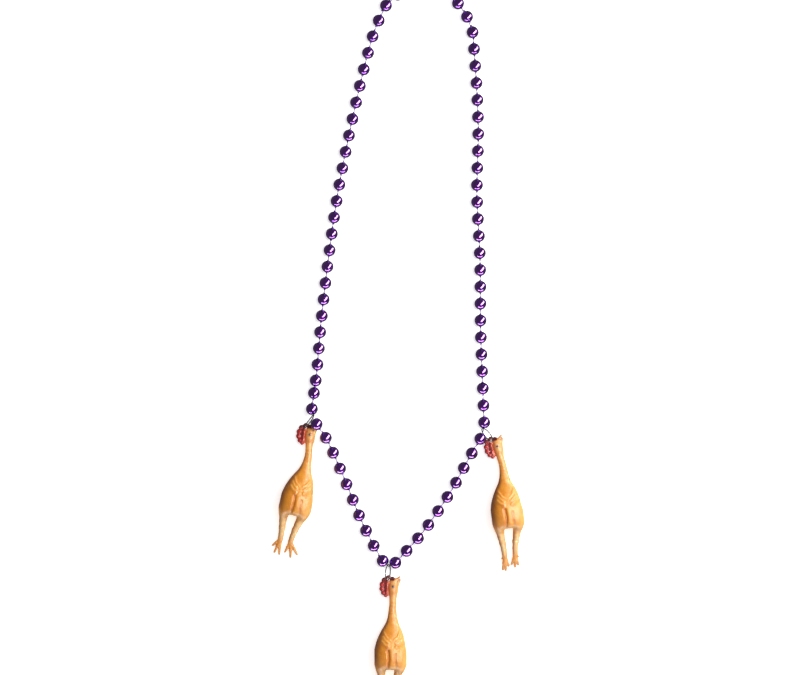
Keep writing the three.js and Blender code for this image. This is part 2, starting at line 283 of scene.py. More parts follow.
class Shader:
    """A Principled material with short calls for the nodes that drive it."""

    def __init__(self, name, **values):
        self.material = bpy.data.materials.new(name)
        self.material.use_nodes = True
        self.tree = self.material.node_tree
        self.main = self.tree.nodes["Principled BSDF"]
        for key, value in values.items():
            self.main.inputs[key.replace("_", " ")].default_value = value
        self.place = self.attribute("place", "Vector")

    def attribute(self, name, output):
        node = self.tree.nodes.new("ShaderNodeAttribute")
        node.attribute_name = name
        return node.outputs[output]

    def noise(self, scale, detail=3.0, stretch=(1, 1, 1)):
        mapping = self.tree.nodes.new("ShaderNodeMapping")
        mapping.inputs["Scale"].default_value = stretch
        self.tree.links.new(self.place, mapping.inputs["Vector"])
        node = self.tree.nodes.new("ShaderNodeTexNoise")
        node.inputs["Scale"].default_value = scale
        node.inputs["Detail"].default_value = detail
        self.tree.links.new(mapping.outputs["Vector"], node.inputs["Vector"])
        return node.outputs["Fac"]

    def cells(self, scale):
        node = self.tree.nodes.new("ShaderNodeTexVoronoi")
        node.inputs["Scale"].default_value = scale
        self.tree.links.new(self.place, node.inputs["Vector"])
        return node.outputs["Distance"]

    def span(self, value, low, high, out_low=0.0, out_high=1.0):
        node = self.tree.nodes.new("ShaderNodeMapRange")
        for key, number in zip(range(1, 5), (low, high, out_low, out_high)):
            node.inputs[key].default_value = number
        self.tree.links.new(value, node.inputs[0])
        return node.outputs[0]

    def mix(self, share, first, second, blend="MIX"):
        node = self.tree.nodes.new("ShaderNodeMix")
        node.data_type = "RGBA"
        node.blend_type = blend
        sockets = {s.identifier: s for s in node.inputs}
        pairs = (("Factor_Float", share), ("A_Color", first), ("B_Color", second))
        for key, value in pairs:
            if isinstance(value, (tuple, float, int)):
                sockets[key].default_value = value
            else:
                self.tree.links.new(value, sockets[key])
        return next(s for s in node.outputs if s.identifier == "Result_Color")

    def feed(self, socket, value):
        self.tree.links.new(value, self.main.inputs[socket])

    def bump(self, height, strength, distance, under=None):
        node = self.tree.nodes.new("ShaderNodeBump")
        node.inputs["Strength"].default_value = strength
        node.inputs["Distance"].default_value = distance * MM
        self.tree.links.new(height, node.inputs["Height"])
        if under is not None:
            self.tree.links.new(under, node.inputs["Normal"])
        self.feed("Normal", node.outputs["Normal"])
        return node.outputs["Normal"]


def bead_material():
    """Purple metallised plastic under a clear coat, with the plating worn at the nubs."""
    s = Shader("bead_purple", Metallic=1.0, Coat_Weight=1.0, Coat_Roughness=0.04, Coat_IOR=1.5)
    tone = s.mix(s.noise(0.06, 2.0), srgb(84, 22, 124), srgb(102, 34, 146))
    worn = s.span(s.attribute("wear", "Fac"), 0.35, 1.0, 0.0, 0.8)
    s.feed("Base Color", s.mix(worn, tone, srgb(150, 120, 175)))
    s.feed("Roughness", s.span(s.noise(0.9), 0.3, 0.75, 0.06, 0.12))
    s.bump(s.noise(0.55, 2.0), 0.06, 0.2)
    return s.material


def string_material():
    """Thin twisted thread, dulled purple by the plating."""
    s = Shader("string_thread", Roughness=0.85, Sheen_Weight=0.3)
    s.feed("Base Color", s.mix(s.noise(1.6, 4.0), srgb(56, 38, 82), srgb(104, 84, 130)))
    s.bump(s.noise(6.0, 4.0), 0.5, 0.12)
    return s.material


def wire_material():
    """Dark nickel-plated wire with fine drawing marks."""
    s = Shader("ring_wire", Metallic=1.0)
    s.feed("Base Color", s.mix(s.noise(0.7), srgb(34, 31, 32), srgb(60, 55, 56)))
    s.feed("Roughness", s.span(s.noise(3.0, 5.0), 0.3, 0.7, 0.4, 0.55))
    s.bump(s.noise(5.0, 4.0, (1, 1, 0.2)), 0.15, 0.05)
    return s.material


def skin_material():
    """Soft moulded vinyl: painted colours, with painted light and shade among them, mottled, with
    a fine pored surface.
    """
    s = Shader(
        "chicken_vinyl",
        Subsurface_Weight=0.22,
        Subsurface_Scale=0.0016,
        Subsurface_Radius=(1.0, 0.45, 0.2),
        Specular_IOR_Level=0.34,
        Coat_Weight=0.05,
        Coat_Roughness=0.35,
    )
    paint = s.attribute("paint", "Color")
    shade = s.mix(1.0, paint, srgb(246, 228, 200), "MULTIPLY")
    mottled = s.mix(s.span(s.noise(0.22, 4.0), 0.42, 0.7), paint, shade)
    specks = s.span(s.noise(2.4, 2.0), 0.6, 0.74, 0.0, 0.35)
    deep = s.mix(1.0, mottled, srgb(218, 178, 122), "MULTIPLY")
    s.feed("Base Color", s.mix(specks, mottled, deep))
    s.feed("Roughness", s.span(s.noise(0.8, 3.0), 0.3, 0.75, 0.38, 0.56))
    pores = s.bump(s.cells(1.1), 0.22, 0.22)
    s.bump(s.noise(2.2, 4.0), 0.3, 0.16, pores)
    return s.material


def eye_material():
    """Painted eye with a slight shine: a black pupil in a brown iris, with faint streaks."""
    s = Shader("chicken_eye", Roughness=0.3, Coat_Weight=0.3, Coat_Roughness=0.2)
    paint = s.attribute("paint", "Color")
    streaks = s.span(s.noise(3.0, 3.0), 0.35, 0.7, 0.0, 0.5)
    s.feed("Base Color", s.mix(streaks, paint, srgb(48, 24, 12)))
    return s.material


def floor_material():
    """Matt white card that also glows a little, so that it stays white all over."""
    s = Shader("floor_card", Roughness=0.9, Specular_IOR_Level=0.2, Emission_Strength=0.55)
    coordinates = s.tree.nodes.new("ShaderNodeTexCoord")
    s.place = coordinates.outputs["Object"]
    s.feed("Base Color", s.mix(s.noise(40.0), (0.93, 0.93, 0.93, 1), (0.95, 0.95, 0.95, 1)))
    return s.material


# ---- meshes ----

NEVER_ALONG = (0.13, 0.21, 0.97)  # a direction that no swept path starts in


def keep_place(mesh, points):
    """Keeps the points as the attribute 'place', which the materials' patterns follow."""
    place = mesh.attributes.new("place", "FLOAT_VECTOR", "POINT")
    place.data.foreach_set("vector", np.asarray(points, np.float32).ravel())


def link_piece(name, mesh, material):
    mesh.materials.append(material)
    piece = bpy.data.objects.new(name, mesh)
    bpy.context.scene.collection.objects.link(piece)
    return piece


def add_piece(name, points, faces, material, slot):
    """A smooth mesh from points in millimetres."""
    mesh = bpy.data.meshes.new(name)
    mesh.from_pydata((np.asarray(points) * MM).tolist(), [], faces)
    mesh.shade_smooth()
    keep_place(mesh, points)
    return link_piece(name, mesh, material)


def join_parts(parts):
    """One list of points and one of faces from several."""
    points = []
    faces = []
    for part_points, part_faces in parts:
        start = sum(len(p) for p in points)
        points.append(np.asarray(part_points, float))
        faces += [tuple(start + i for i in face) for face in part_faces]
    return np.concatenate(points), faces


def unit(vector):
    return vector / np.linalg.norm(vector)


def tube_faces(rows, sides):
    """Faces of a tube whose points go round it row by row, with both ends closed."""
    faces = []
    for row in range(rows - 1):
        for k in range(sides):
            after = (k + 1) % sides
            low, high = row * sides, (row + 1) * sides
            faces.append((low + k, low + after, high + after, high + k))
    faces.append(tuple(range(sides))[::-1])
    faces.append(tuple((rows - 1) * sides + k for k in range(sides)))
    return faces


def distance_along(path):
    steps = np.linalg.norm(np.diff(path, axis=0), axis=1)
    return np.concatenate([[0], np.cumsum(steps)])


def sweep(path, radius_at, sides):
    """A closed tube along a path. radius_at(distance, angles) gives its section."""
    path = np.asarray(path, float)
    angles = np.arange(sides) * 2 * math.pi / sides
    tangents = np.gradient(path, axis=0)
    side = unit(np.cross(tangents[0], NEVER_ALONG))
    points = []
    for point, tangent, distance in zip(path, tangents, distance_along(path)):
        along = unit(tangent)
        side = unit(side - along * (side @ along))
        up = np.cross(along, side)
        radius = radius_at(distance, angles)[:, None]
        outward = np.outer(np.cos(angles), side) + np.outer(np.sin(angles), up)
        points.append(point + radius * outward)
    return np.concatenate(points), tube_faces(len(path), sides)


# ---- the strand ----

FINE = 120  # samples between two points of the route
ROUTE_POINTS = np.array([stop["at"] for stop in ROUTE], float)
Stop = namedtuple("Stop", "place kind run")  # kind is "bead", "fold" or "ring"


def route_between(index):
    """Points on the centripetal Catmull-Rom curve from one stop of the route to the next."""
    p0, p1, p2, p3 = (ROUTE_POINTS[(index + k) % len(ROUTE)] for k in (-1, 0, 1, 2))
    d0, d1, d2 = (math.sqrt(np.linalg.norm(b - a)) for a, b in ((p0, p1), (p1, p2), (p2, p3)))
    leave = ((p1 - p0) / d0 - (p2 - p0) / (d0 + d1) + (p2 - p1) / d1) * d1
    arrive = ((p2 - p1) / d1 - (p3 - p1) / (d1 + d2) + (p3 - p2) / d2) * d1
    t = np.linspace(0, 1, FINE + 1)[:, None]
    square = -3 * p1 + 3 * p2 - 2 * leave - arrive
    cube = 2 * p1 - 2 * p2 + leave + arrive
    return p1 + leave * t + square * t**2 + cube * t**3


def beads_after(index):
    """Bead centres between two stops, equally spaced along the curve, or pinched together."""
    curve = route_between(index)
    travelled = distance_along(curve)
    count = ROUTE[index]["beads"]
    pinch = ROUTE[index].get("pinch", 1)
    shares = 0.5 + ((np.arange(count) + 0.5) / count - 0.5) * pinch
    centres = [
        [np.interp(share * travelled[-1], travelled, curve[:, axis]) for axis in range(3)]
        for share in shares
    ]
    return [np.array([x, y, max(z, BEAD_FLOOR)]) for x, y, z in centres]


def strand_path():
    """Every bead, fold and ring along the string, in order, with the run it belongs to."""
    path = []
    run = None
    for index, stop in enumerate(ROUTE):
        if "run" in stop:
            run = stop["run"]
            path.append(Stop(ROUTE_POINTS[index], "fold", run))
        elif "ring" in stop:
            path.append(Stop(ROUTE_POINTS[index], "ring", run))
        path += [Stop(centre, "bead", run) for centre in beads_after(index)]
    return path


BEAD_SEGMENTS = 36
BEAD_ROWS = 22
SEAM_HEIGHT = 0.05
SEAM_WIDTH = 0.35
SEAM_STOPS = 1.5  # no seam nearer to the bead's axis than this
WEAR_FULL = 1.0  # the plating is gone nearer to the axis than this
WEAR_ENDS = 1.6  # and whole further from it than this
NUB_LEAST = 0.03
NUB_GAP = 0.02  # kept between each nub and the middle of the gap to the next bead
NUB_REACH = 0.24  # radians of the ball that the nub's foot covers
FLAT_REACH = 0.42  # radians of the ball that a flat end takes off, next to a ring


def bead_end(nub):
    """Radius and height of one end's steps: a nub, or a flat face where a ring passes."""
    steps = [(0.34, 1.0), (0.58, 0.94), (0.70, 0.55), (0.88, 0.14)]
    if nub == 0:
        return [(radius, BEAD_R * math.cos(FLAT_REACH)) for radius, _ in steps]
    return [(radius, BEAD_R + nub * share) for radius, share in steps]


def bead_profile(nub_start, nub_end):
    """Radius and height up one bead's axis, with a nub of each length at its ends."""
    first, last = (NUB_REACH if nub else FLAT_REACH for nub in (nub_start, nub_end))
    angles = np.linspace(first, math.pi - last, BEAD_ROWS)
    ball = [(BEAD_R * math.sin(a), -BEAD_R * math.cos(a)) for a in angles]
    start = [(radius, -height) for radius, height in bead_end(nub_start)]
    return start + ball + bead_end(nub_end)[::-1]


def bead_part(centre, along, nub_start, nub_end, roll):
    """One bead's points and faces, its axis along the string, with a faint mould seam."""
    profile = np.array(bead_profile(nub_start, nub_end))
    angles = np.arange(BEAD_SEGMENTS) * 2 * math.pi / BEAD_SEGMENTS
    along = unit(along)
    side = unit(np.cross((0.0, 0.0, 1.0), along))
    up = np.cross(along, side)
    seam_distance = np.outer(profile[:, 0], np.sin(angles))
    seam = np.exp(-((seam_distance / SEAM_WIDTH) ** 2)) * (profile[:, :1] > SEAM_STOPS)
    radius = profile[:, :1] + SEAM_HEIGHT * seam
    turned = (angles + roll)[None, :, None]
    across = np.cos(turned) * side + np.sin(turned) * up
    points = centre + radius[:, :, None] * across + profile[:, 1][:, None, None] * along
    return points.reshape(-1, 3), tube_faces(len(profile), BEAD_SEGMENTS)


def bead_wear(count):
    """How much plating is rubbed off: all of it at the nubs, less at the foot of each."""
    wear = []
    for radius, _ in bead_profile(NUB_LENGTH, NUB_LENGTH):
        wear.append(1.0 if radius < WEAR_FULL else max(0.0, WEAR_ENDS - radius))
    return np.tile(np.repeat(wear, BEAD_SEGMENTS), count)


def thread_radius(distance, angles):
    """A section of two plies that turns as it goes."""
    turn = distance * 2 * math.pi / PLY_PITCH
    return STRING_R * (1 - PLY_GROOVE + PLY_GROOVE * np.cos(STRING_PLIES * (angles - turn)))


def thread_part(points):
    """String through these points, in short steps so that its plies show."""
    path = [points[0]]
    for start, end in zip(points, points[1:]):
        count = max(2, int(np.linalg.norm(end - start) / STRING_STEP))
        path += [start + (end - start) * (k + 1) / count for k in range(count)]
    return sweep(path, thread_radius, STRING_SIDES)


def nub_lengths(path, bead_places):
    """The nub at each bead's start and end: none beside a ring, shorter in a narrow gap."""
    nubs = {}
    for order, i in enumerate(bead_places):
        j = bead_places[(order + 1) % len(bead_places)]
        clear = np.linalg.norm(path[j].place - path[i].place) - 2 * BEAD_R
        nub = min(NUB_LENGTH, max(NUB_LEAST, clear / 2 - NUB_GAP))
        if path[(i + 1) % len(path)].kind == "ring":
            nub = 0.0
        nubs[i, "end"] = nub
        nubs[j, "start"] = nub
    return nubs


def add_strand(body_of, bead, thread):
    path = strand_path()
    bead_places = [i for i, stop in enumerate(path) if stop.kind == "bead"]
    nubs = nub_lengths(path, bead_places)
    rng = random.Random(7)
    for run in dict.fromkeys(stop.run for stop in path):
        parts = []
        for i in bead_places:
            if path[i].run != run:
                continue
            along = path[(i + 1) % len(path)].place - path[i - 1].place
            roll = rng.uniform(0, math.pi)
            centre = path[i].place + MIDDLE
            parts.append(bead_part(centre, along, nubs[i, "start"], nubs[i, "end"], roll))
        points, faces = join_parts(parts)
        piece = add_piece(run + "_beads", points, faces, bead, "bead")
        wear = piece.data.attributes.new("wear", "FLOAT", "POINT")
        wear.data.foreach_set("value", bead_wear(len(parts)).astype(np.float32))
        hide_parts(run)
        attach(piece, body_of[run])
        inner = [stop.place + MIDDLE for stop in path if stop.run == run and stop.kind != "fold"]
        if len(inner) > 1:
            string = add_piece(run + "_string", *thread_part(inner), thread, "bead")
            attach(string, body_of[run])
    add_fold_links(path, thread)


def add_fold_links(path, thread):
    """The bare string where two runs meet, between their two bodies."""
    for i, fold in enumerate(path):
        if fold.kind != "fold":
            continue
        before, after = path[i - 1], path[(i + 1) % len(path)]
        places = [stop.place + MIDDLE for stop in (before, fold, after)]
        link = add_piece(fold.run + "_link", *thread_part(places), thread, "bead")
        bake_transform(link)


# ---- jump rings ----


def add_ring(side, charm, material):
    """A wire ring that goes round the string and through the comb's hole, its ends cut flat."""
    held_at = next(stop for stop in ROUTE if stop.get("ring") == side)
    gap = np.array(held_at["at"], float)
    hole = np.array([*charm["hole"], HEAD_Z])
    span = np.linalg.norm(hole - gap)
    outward = (hole - gap) / span
    across = unit(np.cross((0, 0, 1), outward))
    upward = np.cross(outward, across)
    lean = Matrix.Rotation(math.radians(charm["lean"]), 3, Vector(outward))
    upward = np.array(lean @ Vector(upward))
    holds = RING_R - WIRE_R - STRING_R - charm["slack"]
    along = (span**2 + holds**2 - RING_R**2) / (2 * span)
    above = math.sqrt(holds**2 - along**2)
    centre = gap + outward * along + upward * above + MIDDLE
    turns = np.linspace(RING_OPEN / 2, 2 * math.pi - RING_OPEN / 2, RING_POINTS) + math.pi / 2
    path = [centre + RING_R * (math.cos(a) * outward + math.sin(a) * upward) for a in turns]
    length = RING_R * (2 * math.pi - RING_OPEN)

    def wire(distance, angles):
        to_end = min(distance, length - distance)
        return np.full(len(angles), WIRE_R - CHAMFER_DEPTH * max(0.0, 1 - to_end / CHAMFER_LENGTH))

    ring = add_piece(side + "_ring_wire", *sweep(path, wire, WIRE_SIDES), material, "wire")
    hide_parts(side + "_ring")
    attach(ring, side + "_ring")


# ---- the chicken's shape ----
# The skin is the zero level of a distance field, sampled on a grid and turned into a mesh.


def soft_min(a, b, k):
    """Two shapes merged, with a fillet about k wide where they meet."""
    h = np.clip(0.5 + 0.5 * (b - a) / k, 0, 1)
    return b * (1 - h) + a * h - k * h * (1 - h)


def soft_max(a, b, k):
    return -soft_min(-a, -b, k)


def merged(shapes, k):
    """Several shapes merged in order, each with a fillet of k."""
    return reduce(lambda a, b: soft_min(a, b, k), shapes)


def to_ellipsoid(p, centre, radii):
    q = [(p[i] - centre[i]) / radii[i] for i in range(3)]
    near = np.sqrt(q[0] ** 2 + q[1] ** 2 + q[2] ** 2)
    far = np.sqrt(sum((q[i] / radii[i]) ** 2 for i in range(3)))
    return near * (near - 1) / np.maximum(far, 1e-6)


def to_cone(p, a, b, ra, rb):
    """Distance to a round-ended cone between two points."""
    d = [b[i] - a[i] for i in range(len(a))]
    square = sum(x * x for x in d)
    t = np.clip(sum((p[i] - a[i]) * d[i] for i in range(len(a))) / square, 0, 1)
    gap = sum((p[i] - a[i] - d[i] * t) ** 2 for i in range(len(a)))
    return np.sqrt(gap) - (ra + (rb - ra) * t)


def to_line(p, points):
    """Distance in the XY plane to a line through several points."""
    return np.minimum.reduce([to_cone(p[:2], a, b, 0, 0) for a, b in zip(points, points[1:])])


def ridge(distance, width):
    return np.exp(-((distance / width) ** 2))


BODY_SPAN = (-86.0, 8.0)
ROW_STEP = 0.25
SMOOTH_STEPS = 16  # rows each side of a point that smoothing takes in
SMOOTH_WIDTH = 1.7


def body_rows(y):
    """The body's section at each height, from the rows smoothed into curves."""
    fine = np.arange(*BODY_SPAN, ROW_STEP)
    rows = np.array(BODY_ROWS)[::-1]
    steps = np.arange(-SMOOTH_STEPS, SMOOTH_STEPS + 1)
    kernel = ridge(steps * ROW_STEP, SMOOTH_WIDTH)
    kernel /= kernel.sum()
    made = []
    for column in range(1, 5):
        values = np.interp(fine, rows[:, 0], rows[:, column])
        padded = np.pad(values, SMOOTH_STEPS, mode="edge")
        made.append(np.interp(y, fine, np.convolve(padded, kernel, mode="valid")))
    return made


WING_MIDDLE = 6.6  # the breastbone's x between the wings
WING = [(7.6, -39.5), (8.0, -43.0), (6.6, -48.0), (4.0, -53.0)]
WING_R = [1.2, 3.2, 3.4, 1.6]
WING_HEIGHT = 0.4
FEATHERS = 3  # ridges on each wing
FEATHER_HEIGHT = 0.42
FEATHER_WIDTH = 0.6
CREASES = 2  # in the skin above each shoulder
CREASE_MIDDLE = 5.8
CREASE_DEPTH = 0.2
# Each groove down the front of a thigh: its line, depth and width.
THIGH_GROOVES = [
    ([(3.4, -56.5), (3.9, -61), (3.8, -66), (3.0, -71)], 1.5, 1.15),
    ([(9.8, -59), (9.5, -63), (9.8, -67), (10.2, -71)], 0.4, 1.0),
]


def wing_line(side):
    return [(WING_MIDDLE + side * x, y) for x, y in WING]


def feather_lines(side):
    """Short ridges that slope down and in across a wing, one under another."""
    lines = []
    for k in range(FEATHERS):
        outer = np.array([WING_MIDDLE + side * (6.4 + 0.9 * k), -41.4 - 3.5 * k])
        inner = np.array([WING_MIDDLE + side * (1.9 + 0.5 * k), -47.2 - 2.7 * k])
        middle = (outer + inner) / 2 + (side * 0.4, -0.7)
        lines.append([outer, middle, inner])
    return lines


def to_wing(p, side):
    """Distance in the XY plane to the outline of a folded wing."""
    joints = list(zip(wing_line(side), WING_R))
    pairs = zip(joints, joints[1:])
    return np.minimum.reduce([to_cone(p[:2], a, b, ra, rb) for (a, ra), (b, rb) in pairs])


def breast_relief(p):
    """How far the breast stands out: wings, feathers, creases, grooves, wrinkles and bumps."""
    x, y = p[:2]
    relief = 0
    for side in (-1, 1):
        wing = to_wing(p, side)
        inside = np.clip(0.5 - wing / 2.2, 0, 1)
        relief = relief + WING_HEIGHT * inside * inside * (3 - 2 * inside)
        for line in feather_lines(side):
            relief = relief + FEATHER_HEIGHT * ridge(to_line(p, line), FEATHER_WIDTH)
        for k in range(CREASES):
            inner = (CREASE_MIDDLE + side * (2.6 + k * 1.4), -34 - k)
            outer = (CREASE_MIDDLE + side * (4.8 + k), -38.5 - k)
            relief = relief - CREASE_DEPTH * ridge(to_line(p, [inner, outer]), FEATHER_WIDTH)
    for line, depth, width in THIGH_GROOVES:
        relief = relief - depth * ridge(to_line(p, line), width)
    # Wrinkles round the neck, and goose bumps below it.
    neck = np.clip((y + 36) / 6, 0, 1) * np.clip((-14 - y) / 5, 0, 1)
    relief = relief + 0.10 * neck * np.sin(y * 2.1 + np.sin(x * 0.9) * 0.8)
    bumps = np.cos(1.9 * x + 0.7 * np.sin(0.8 * y)) * np.cos(1.75 * y + 0.9 * np.sin(0.7 * x))
    below = np.clip((-20 - y) / 8, 0, 1)
    return relief + 0.13 * np.clip(bumps, 0, 1) ** 2 * below


def body_field(p):
    x, y, z = p
    cx, half, cz, thick = body_rows(y)
    q = np.sqrt(((x - cx) / half) ** 2 + ((z - cz) / thick) ** 2)
    body = (q - 1) * np.minimum(half, thick)
    front = np.clip((z - cz) / (0.45 * thick) - 0.1, 0, 1)
    body = body - breast_relief(p) * front
    body = soft_max(body, y - CROWN_END, 3.0)
    body = soft_max(body, BELLY_END - y, 4.2)
    # Thighs either side of the belly, and a ruffled lip round the vent.
    for side in (-1, 1):
        centre = (5.3 + side * 8.0, -64.0, 10.9)
        body = soft_min(body, to_ellipsoid(p, centre, (5.0, 11.5, 6.4)), 2.2)
    vent_x, vent_z = VENT
    angle = np.arctan2(z - vent_z, x - vent_x)
    pleat = 0.32 * np.cos(PLEATS * angle)
    out = np.sqrt(((x - vent_x) / 4.9) ** 2 + ((z - vent_z) / 4.2) ** 2) - 1
    lip = np.sqrt((out * 4.5) ** 2 + (y + 71.6 - pleat) ** 2) - 0.95 - pleat * 0.5
    body = soft_min(body, lip, 0.9)
    hollow = to_ellipsoid(p, (vent_x, SPLIT_HIPS, vent_z), (3.6, 3.6, 2.9))
    return soft_max(body, -hollow, 0.8)


def leg_field(p, bones, toes, spur):
    x, y, _ = p
    pairs = zip(bones, bones[1:])
    leg = merged([to_cone(p, a[:3], b[:3], a[3], b[3]) for a, b in pairs], 0.7)
    knee = bones[3]
    leg = soft_min(leg, to_ellipsoid(p, knee[:3], (2.5, 2.2, 2.4)), 0.9)
    scales = np.clip((-80 - y) / 3, 0, 1)
    leg = leg - 0.09 * scales * np.cos(y * 4.6 + 0.8 * np.cos(x * 2))
    ankle = np.array(bones[-1][:3])
    for tip_x, tip_y in toes:
        tip = np.array([tip_x, tip_y, 0.95])
        joint = ankle + (tip - ankle) * 0.55 + (0, 0, 0.5)
        claw = tip + unit(tip - ankle) * (1.3, 1.3, 0) - (0, 0, 0.25)
        toe = to_cone(p, ankle, joint, 1.6, 1.25)
        toe = soft_min(toe, to_ellipsoid(p, joint, (1.4, 1.4, 1.25)), 0.4)
        toe = soft_min(toe, to_cone(p, joint, tip, 1.15, 0.95), 0.4)
        toe = soft_min(toe, to_cone(p, tip, claw, 0.62, 0.28), 0.15)
        leg = soft_min(leg, toe, 0.6)
    tip = np.array([*spur, 1.6])
    return soft_min(leg, to_cone(p, ankle, tip, 1.2, 0.55), 0.5)


def head_field(p):
    x, y, z = p
    skull = to_ellipsoid(p, (4.9, -4.6, HEAD_Z), (4.3, 6.6, 4.0))
    cheek = to_ellipsoid(p, (5.6, -8.6, HEAD_Z), (3.3, 3.4, 3.7))
    head = soft_min(skull, cheek, 1.5)
    upper = to_cone(p, (5.6, -2.0, HEAD_Z), (9.0, 4.0, HEAD_Z), 2.6, 0.55)
    lower = to_cone(p, (7.4, -3.0, HEAD_Z), (9.8, 1.4, HEAD_Z), 1.8, 0.5)
    beak = soft_min(upper, lower, 0.25)
    head = soft_min(head, beak, 0.9)
    for side in (-1, 1):
        z_eye = HEAD_Z + side * 3.65
        out = np.sqrt((x - EYE[0]) ** 2 + (y - EYE[1]) ** 2)
        lid = np.sqrt((out - LID_R) ** 2 + (z - z_eye) ** 2) - 0.42
        head = soft_min(head, lid, 0.5)
        brow = to_cone(p, (2.9, -2.9, z_eye), (6.4, -2.9, z_eye), 0.5, 0.35)
        head = soft_min(head, brow, 0.7)
        nostril = to_ellipsoid(p, (7.7, 1.0, HEAD_Z + side * 1.8), (0.75, 0.4, 0.7))
        head = soft_max(head, -nostril, 0.3)
    return head


def comb_field(p):
    x, y, z = p
    flat = merged([np.sqrt((x - a) ** 2 + (y - b) ** 2) - r for a, b, r in COMB_LOBES], 0.35)
    flat = soft_min(flat, to_cone((x, y), (3.4, 0.4), (-0.6, -2.4), 2.4, 3.2), 0.4)
    flat = soft_min(flat, to_cone((x, y), (-0.6, -2.4), (0.2, -11), 3.4, 2.6), 0.4)
    # Thin at the edge, thicker towards the skull, with ribs that fan out.
    depth = np.clip(-flat, 0, 4)
    angle = np.arctan2(y + 5.5, x - 3)
    ribs = 0.14 * np.cos(angle * 11) * np.clip(depth - 0.6, 0, 1)
    half = 0.95 + 0.24 * depth + ribs
    sheet = np.abs(z - HEAD_Z) - half
    comb = soft_max(flat, sheet, 0.9)
    grain = 0.04 * np.cos(3.1 * x + np.sin(2 * y)) * np.cos(2.9 * y + np.sin(2.2 * x))
    return comb - grain


GRID_LOW = (-8.0, -110.0, -1.2)
GRID_HIGH = (18.8, 7.2, 22.4)
SPREAD_EDGE = 20.0  # the grid's right edge where the toes are spread
OUTSIDE = 9.0  # the field's value before any shape is in it
BASE_Z = 0.12  # the skin's lowest points


def sculpt(spread):
    """Points and quads of a whole charm's skin, in its own frame."""
    low = np.array(GRID_LOW)
    high = np.array(GRID_HIGH)
    if spread:
        high[0] = SPREAD_EDGE
    axes = [np.arange(low[i], high[i], VOXEL) for i in range(3)]
    field = np.full([len(a) for a in axes], OUTSIDE, np.float32)
    # Each shape: its fillet, and the lowest and highest y it reaches, outside which it is skipped.
    shapes = [(0.1, -81, 9, body_field), (1.2, -22, 9, head_field), (0.8, -20, 9, comb_field)]
    for side in ("left", "right"):
        leg = dict(LEGS[side])
        if spread:
            leg["toes"] = SPREAD_TOES[side]
        shapes.append((2.2, -112, -60, partial(leg_field, **leg)))
    for k, y_low, y_high, make in shapes:
        rows = np.where((axes[1] >= y_low) & (axes[1] <= y_high))[0]
        part = slice(rows[0], rows[-1] + 1)
        p = (axes[0][:, None, None], axes[1][None, part, None], axes[2][None, None, :])
        made = np.broadcast_to(make(p), field[:, part].shape)
        field[:, part] = soft_min(field[:, part], made, k)
    x, y, z = np.meshgrid(*axes, indexing="ij", sparse=True)
    field = soft_max(field, BASE_Z - z + 0 * x + 0 * y, 0.5)
    hole = np.sqrt(x**2 + y**2) - HOLE_R + 0 * z
    field = soft_max(field, -hole, 0.35)
    points, faces = surface_net(field)
    return low + points * VOXEL, faces


def surface_net(field):
    """Quads round a field's zero level: one point in each cell that the surface crosses."""
    cells = tuple(n - 1 for n in field.shape)
    total = np.zeros(cells + (3,), np.float32)
    count = np.zeros(cells, np.float32)
    for axis in range(3):
        others = [a for a in range(3) if a != axis]
        for first in (0, 1):
            for second in (0, 1):
                corner = [0, 0, 0]
                corner[others[0]], corner[others[1]] = first, second
                step = list(corner)
                step[axis] = 1
                a = field[tuple(slice(c, c + n) for c, n in zip(corner, cells))]
                b = field[tuple(slice(c, c + n) for c, n in zip(step, cells))]
                crossed = (a < 0) != (b < 0)
                share = np.where(crossed, a / np.where(crossed, a - b, 1), 0)
                for k in range(3):
                    value = share if k == axis else corner[k]
                    total[..., k] += np.where(crossed, value, 0)
                count += crossed
    found = count > 0
    index = np.full(cells, -1, np.int64)
    index[found] = np.arange(found.sum())
    points = np.argwhere(found) + total[found] / count[found][:, None]
    faces = []
    for axis in range(3):
        j, k = (axis + 1) % 3, (axis + 2) % 3
        f = np.moveaxis(field, (axis, j, k), (0, 1, 2)) < 0
        cell = np.moveaxis(index, (axis, j, k), (0, 1, 2))
        crossed = f[:-1, 1:-1, 1:-1] != f[1:, 1:-1, 1:-1]
        quad = [
            cell[:, :-1, :-1][crossed],
            cell[:, 1:, :-1][crossed],
            cell[:, 1:, 1:][crossed],
            cell[:, :-1, 1:][crossed],
        ]
        quad = np.stack(quad, axis=1)
        outward = f[:-1, 1:-1, 1:-1][crossed]
        quad[~outward] = quad[~outward][:, ::-1]
        faces.append(quad)
    return points, np.concatenate(faces)


# ---- the chicken's paint, with painted light and shade among it ----

PAINT = {
    "body": srgb(232, 156, 38),
    "neck": srgb(236, 166, 80),
    "face": srgb(232, 164, 92),
    "pale_lit_side": srgb(246, 206, 120),
    "orange_side_and_shade": srgb(224, 138, 30),
    "brown_back_and_shade": srgb(106, 50, 4),
    "groove_shade": srgb(178, 98, 22),
    "feather_highlight": srgb(250, 208, 122),
    "hem": srgb(244, 206, 140),
    "leg": srgb(242, 196, 132),
    "leg_shade": srgb(150, 78, 24),
    "foot": srgb(226, 156, 66),
    "toe_tip": srgb(206, 150, 92),
    "beak": srgb(208, 142, 72),
    "flush": srgb(226, 92, 50),
    "comb": srgb(184, 10, 6),
    "comb_edge": srgb(70, 5, 7),
    "comb_top_shade": srgb(62, 8, 8),
    "mouth_shade": srgb(122, 66, 26),
    "lid": srgb(176, 104, 56),
    "pupil": srgb(10, 6, 4),
    "iris": srgb(112, 58, 20),
}


def blend_paint(base, colour, share):
    return base * (1 - share[:, None]) + np.array(colour) * share[:, None]


def fade(value, start, end):
    """0 before start and 1 past end, turning smoothly between them."""
    t = np.clip((value - start) / (end - start), 0, 1)
    return t * t * (3 - 2 * t)


